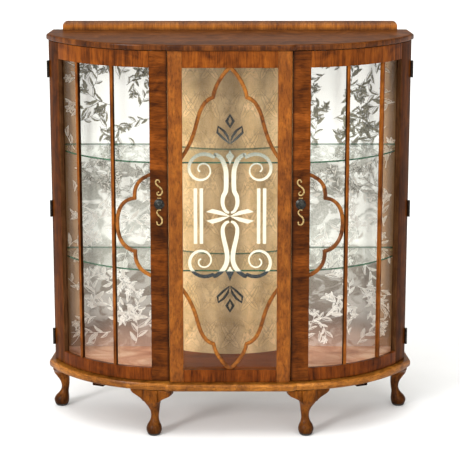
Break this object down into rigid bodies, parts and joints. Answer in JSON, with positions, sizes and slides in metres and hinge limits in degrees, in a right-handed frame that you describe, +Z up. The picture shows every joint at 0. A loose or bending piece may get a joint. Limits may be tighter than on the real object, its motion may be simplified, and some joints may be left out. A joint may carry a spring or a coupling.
{
  "type": "china cabinet with glass doors",
  "caption": "Bow-fronted display cabinet on short cabriole legs: a fixed glazed centre between bent-glass doors, with glass shelves and a mirrored back.",
  "frame": {"origin": "on the floor under the middle of the cabinet's box", "axes": "+X to the cabinet's right-hand side as seen from the front, +Y to the back, +Z up"},
  "size_m": [1.1, 0.345, 1.192],
  "materials": {
    "walnut": "french-polished figured walnut veneer",
    "dark_walnut": "french-polished dark walnut",
    "light_walnut": "french-polished lighter walnut",
    "plinth_walnut": "french-polished golden walnut moulding",
    "plywood": "bare plywood",
    "damask_lining": "woven damask on a board, slight sheen",
    "clear_glass": "clear polished glass",
    "silvered_mirror": "silvered glass",
    "hinge_metal": "blackened steel",
    "knob_metal": "blackened brass, worn bright on top",
    "antique_brass": "antique brass",
    "glide_rubber": "black pad",
    "painted_decoration": "fired enamel line"
  },
  "bodies": {
    "carcass": {"top_board": "walnut", "top_gallery": "walnut", "plinth": "plinth_walnut", "floor_panel": "walnut", "back_panel": "plywood", "centre_back_panel": "damask_lining", "lower_shelf": "clear_glass", "upper_shelf": "clear_glass", "centre_top_rail": "walnut", "centre_bottom_rail": "walnut", "centre_glass": "clear_glass", "centre_top_astragal": "light_walnut", "centre_bottom_astragal": "light_walnut", "left_pilaster": "light_walnut", "left_side_panel": "dark_walnut", "left_mirror": "silvered_mirror", "left_lower_hinge_fixed_leaf": "hinge_metal", "left_middle_hinge_fixed_leaf": "hinge_metal", "left_upper_hinge_fixed_leaf": "hinge_metal", "left_front_leg": "walnut", "left_front_inner_knee_bracket": "walnut", "left_front_outer_knee_bracket": "walnut", "left_rear_leg": "walnut", "left_rear_knee_bracket": "walnut", "right_pilaster": "light_walnut", "right_side_panel": "dark_walnut", "right_mirror": "silvered_mirror", "right_lower_hinge_fixed_leaf": "hinge_metal", "right_middle_hinge_fixed_leaf": "hinge_metal", "right_upper_hinge_fixed_leaf": "hinge_metal", "right_front_leg": "walnut", "right_front_inner_knee_bracket": "walnut", "right_front_outer_knee_bracket": "walnut", "right_rear_leg": "walnut", "right_rear_knee_bracket": "walnut"},
    "left_door": {"left_door_top_rail": "walnut", "left_door_bottom_rail": "walnut", "left_door_lock_stile": "walnut", "left_door_hinge_stile": "dark_walnut", "left_door_inner_bar": "walnut", "left_door_outer_bar": "walnut", "left_door_glass": "clear_glass", "left_door_ear_moulding": "walnut", "left_lower_hinge_door_leaf": "hinge_metal", "left_middle_hinge_door_leaf": "hinge_metal", "left_upper_hinge_door_leaf": "hinge_metal"},
    "right_door": {"right_door_top_rail": "walnut", "right_door_bottom_rail": "walnut", "right_door_lock_stile": "walnut", "right_door_hinge_stile": "dark_walnut", "right_door_inner_bar": "walnut", "right_door_outer_bar": "walnut", "right_door_glass": "clear_glass", "right_door_ear_moulding": "walnut", "right_lower_hinge_door_leaf": "hinge_metal", "right_middle_hinge_door_leaf": "hinge_metal", "right_upper_hinge_door_leaf": "hinge_metal"},
    "left_knob": {"left_door_knob": "knob_metal"},
    "right_knob": {"right_door_knob": "knob_metal"}
  },
  "joints": [
    {"name": "left_door_swing", "type": "hinge", "parent": "carcass", "child": "left_door", "pos_m": [-0.53492, 0.07313, 0.642], "axis": [0, 0, -1], "range_deg": [0, 110]},
    {"name": "right_door_swing", "type": "hinge", "parent": "carcass", "child": "right_door", "pos_m": [0.53492, 0.07313, 0.642], "axis": [0, 0, 1], "range_deg": [0, 110]},
    {"name": "left_knob_turn", "type": "hinge", "parent": "left_door", "child": "left_knob", "pos_m": [-0.20324, -0.14363, 0.705], "axis": [-0.0663, -0.9978, 0], "range_deg": [0, 90]},
    {"name": "right_knob_turn", "type": "hinge", "parent": "right_door", "child": "right_knob", "pos_m": [0.20324, -0.14363, 0.705], "axis": [-0.0663, 0.9978, 0], "range_deg": [0, 90]}
  ]
}
